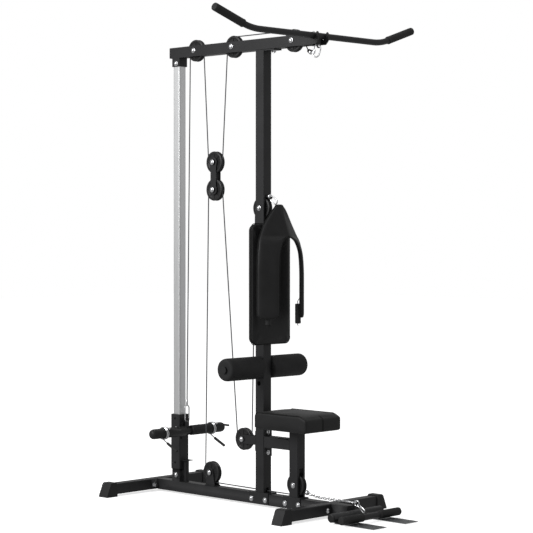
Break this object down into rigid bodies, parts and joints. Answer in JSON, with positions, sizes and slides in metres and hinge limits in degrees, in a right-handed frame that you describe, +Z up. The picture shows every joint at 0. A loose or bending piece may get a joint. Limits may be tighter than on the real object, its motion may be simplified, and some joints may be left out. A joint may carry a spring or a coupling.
{
  "type": "multi station home gym",
  "caption": "Plate-loaded home gym frame with lat pull-down bar, ab-crunch harness and low row bar on one cable-driven carriage.",
  "frame": {"origin": "centre of the footprint on the floor", "axes": "+X from the weight carriage to the seat and foot plates, +Y across to the machine's left side when seated, +Z up"},
  "size_m": [1.5216, 1.2972, 2.1937],
  "materials": {
    "frame_paint": "matte black powder coat with a fine grain",
    "post_steel": "satin silver plated steel",
    "rubber": "black rubber",
    "vinyl": "black grained vinyl over foam",
    "board": "black stained plywood",
    "plastic": "black moulded plastic",
    "foam": "black closed-cell foam",
    "tread_plate": "dark grey raised-pattern tread plate",
    "pulley": "black nylon",
    "zinc": "bright zinc and chrome plating",
    "grip": "ribbed black rubber",
    "cable": "dark grey plastic-coated steel cable"
  },
  "bodies": {
    "root": {"main_beam": "frame_paint", "rear_stabilizer": "frame_paint", "front_stabilizer": "frame_paint", "upright": "frame_paint", "top_beam": "frame_paint", "guide_post": "post_steel", "carriage_bumper": "rubber", "bar_cradle": "frame_paint", "seat_post": "frame_paint", "seat_bracket": "frame_paint", "seat_cushion": "vinyl", "back_board": "board", "back_pad": "vinyl", "roller_tube": "plastic", "foot_frame": "frame_paint", "foot_plate_near": "tread_plate", "foot_plate_far": "tread_plate", "knee_pulley_bracket": "frame_paint", "base_pulley_bracket": "frame_paint", "cable_upper": "cable", "cable_lower": "cable", "foot_cap_rear_near": "plastic", "foot_cap_rear_far": "plastic", "foot_cap_front_near": "plastic", "foot_cap_front_far": "plastic", "axle_bolt_top_rear": "zinc", "axle_bolt_top_mid": "zinc", "axle_bolt_top_front": "zinc", "axle_bolt_crunch": "zinc", "axle_bolt_low": "zinc"},
    "carriage": {"carriage_sleeve": "frame_paint", "weight_bar": "frame_paint", "peg_sleeve_near": "plastic", "peg_sleeve_far": "plastic", "carriage_carabiner": "zinc"},
    "collar_near": {"collar_near": "zinc"},
    "collar_far": {"collar_far": "zinc"},
    "float": {"float_yoke": "frame_paint"},
    "lat_end": {"lat_clip": "zinc"},
    "lat_bar": {"lat_bar": "frame_paint", "lat_grip_near": "grip", "lat_grip_far": "grip", "lat_carabiner": "zinc"},
    "crunch_end": {"crunch_clip": "zinc"},
    "harness": {"crunch_harness": "vinyl"},
    "row_end": {"row_chain": "zinc", "low_bar": "frame_paint", "low_grip_near": "grip", "low_grip_far": "grip"},
    "roller_near": {"roller_near": "foam"},
    "roller_far": {"roller_far": "foam"},
    "pulley_top_rear": {"pulley_top_rear": "pulley"},
    "pulley_top_mid": {"pulley_top_mid": "pulley"},
    "pulley_top_front": {"pulley_top_front": "pulley"},
    "pulley_crunch": {"pulley_crunch": "pulley"},
    "pulley_knee": {"pulley_knee": "pulley"},
    "pulley_base": {"pulley_base": "pulley"},
    "pulley_low": {"pulley_low": "pulley"},
    "pulley_float_upper": {"pulley_float_upper": "pulley"},
    "pulley_float_lower": {"pulley_float_lower": "pulley"}
  },
  "joints": [
    {"name": "carriage_lift", "type": "slide", "parent": "root", "child": "carriage", "axis": [0, 0, 1], "range_m": [0, 0.95], "deforming": ["cable_upper", "cable_lower"]},
    {"name": "lat_pull", "type": "slide", "parent": "root", "child": "lat_end", "axis": [0, 0, -1], "range_m": [0, 0.95]},
    {"name": "lat_bar_lift", "type": "slide", "parent": "lat_end", "child": "lat_bar", "axis": [0, 0, 1], "range_m": [0, 0.035]},
    {"name": "row_pull", "type": "slide", "parent": "root", "child": "row_end", "axis": [1, 0, 0], "range_m": [0, 0.8], "stiffness_N_per_m": 25, "springref_m": -0.9},
    {"name": "float_drop", "type": "slide", "parent": "root", "child": "float", "axis": [0, 0, -1], "range_m": [0, 0.4]},
    {"name": "crunch_pull", "type": "slide", "parent": "root", "child": "crunch_end", "axis": [0.35, 0, -0.9367], "range_m": [0, 0.25], "stiffness_N_per_m": 60, "springref_m": -0.9},
    {"name": "harness_swing", "type": "hinge", "parent": "crunch_end", "child": "harness", "pos_m": [0.0678, 0, 1.37], "axis": [0, -1, 0], "range_deg": [0, 25]},
    {"name": "collar_near_slide", "type": "slide", "parent": "carriage", "child": "collar_near", "axis": [0, -1, 0], "range_m": [0, 0.1]},
    {"name": "collar_far_slide", "type": "slide", "parent": "carriage", "child": "collar_far", "axis": [0, 1, 0], "range_m": [0, 0.09]},
    {"name": "roller_near_spin", "type": "hinge", "parent": "root", "child": "roller_near", "pos_m": [-0.0192, 0, 0.6295], "axis": [0, 1, 0], "continuous": true},
    {"name": "roller_far_spin", "type": "hinge", "parent": "root", "child": "roller_far", "pos_m": [-0.0192, 0, 0.6295], "axis": [0, 1, 0], "continuous": true},
    {"name": "pulley_top_rear_spin", "type": "hinge", "parent": "root", "child": "pulley_top_rear", "pos_m": [-0.4532, 0, 2.094], "axis": [0, 1, 0], "continuous": true},
    {"name": "pulley_top_mid_spin", "type": "hinge", "parent": "root", "child": "pulley_top_mid", "pos_m": [-0.2032, 0, 2.094], "axis": [0, 1, 0], "continuous": true},
    {"name": "pulley_top_front_spin", "type": "hinge", "parent": "root", "child": "pulley_top_front", "pos_m": [0.1748, 0, 2.094], "axis": [0, 1, 0], "continuous": true},
    {"name": "pulley_float_upper_spin", "type": "hinge", "parent": "float", "child": "pulley_float_upper", "pos_m": [-0.3292, 0, 1.5655], "axis": [0, 1, 0], "continuous": true},
    {"name": "pulley_low_spin", "type": "hinge", "parent": "root", "child": "pulley_low", "pos_m": [0.1878, 0, 0.117], "axis": [0, 1, 0], "continuous": true},
    {"name": "pulley_base_spin", "type": "hinge", "parent": "root", "child": "pulley_base", "pos_m": [-0.3492, 0, 0.122], "axis": [0, 1, 0], "continuous": true},
    {"name": "pulley_float_lower_spin", "type": "hinge", "parent": "float", "child": "pulley_float_lower", "pos_m": [-0.3292, 0, 1.438], "axis": [0, 1, 0], "continuous": true},
    {"name": "pulley_knee_spin", "type": "hinge", "parent": "root", "child": "pulley_knee", "pos_m": [-0.1372, 0, 0.295], "axis": [0, 1, 0], "continuous": true},
    {"name": "pulley_crunch_spin", "type": "hinge", "parent": "root", "child": "pulley_crunch", "pos_m": [-0.0232, 0, 1.35], "axis": [0, 1, 0], "continuous": true}
  ],
  "couplings": [
    {"joint": "lat_pull", "follows": "carriage_lift", "ratio": 1},
    {"joint": "float_drop", "follows": "row_pull", "ratio": 0.5},
    {"joint": "pulley_top_rear_spin", "follows": "carriage_lift", "rad_per_m": 21.739},
    {"joint": "pulley_top_mid_spin", "follows": "carriage_lift", "rad_per_m": 21.739},
    {"joint": "pulley_top_front_spin", "follows": "carriage_lift", "rad_per_m": 21.739},
    {"joint": "pulley_float_upper_spin", "follows": "carriage_lift", "rad_per_m": -21.739},
    {"joint": "pulley_low_spin", "follows": "row_pull", "rad_per_m": -21.739},
    {"joint": "pulley_base_spin", "follows": "row_pull", "rad_per_m": -21.739},
    {"joint": "pulley_float_lower_spin", "follows": "row_pull", "rad_per_m": -10.87},
    {"joint": "pulley_knee_spin", "follows": "crunch_pull", "rad_per_m": -21.739},
    {"joint": "pulley_crunch_spin", "follows": "crunch_pull", "rad_per_m": 21.739}
  ]
}
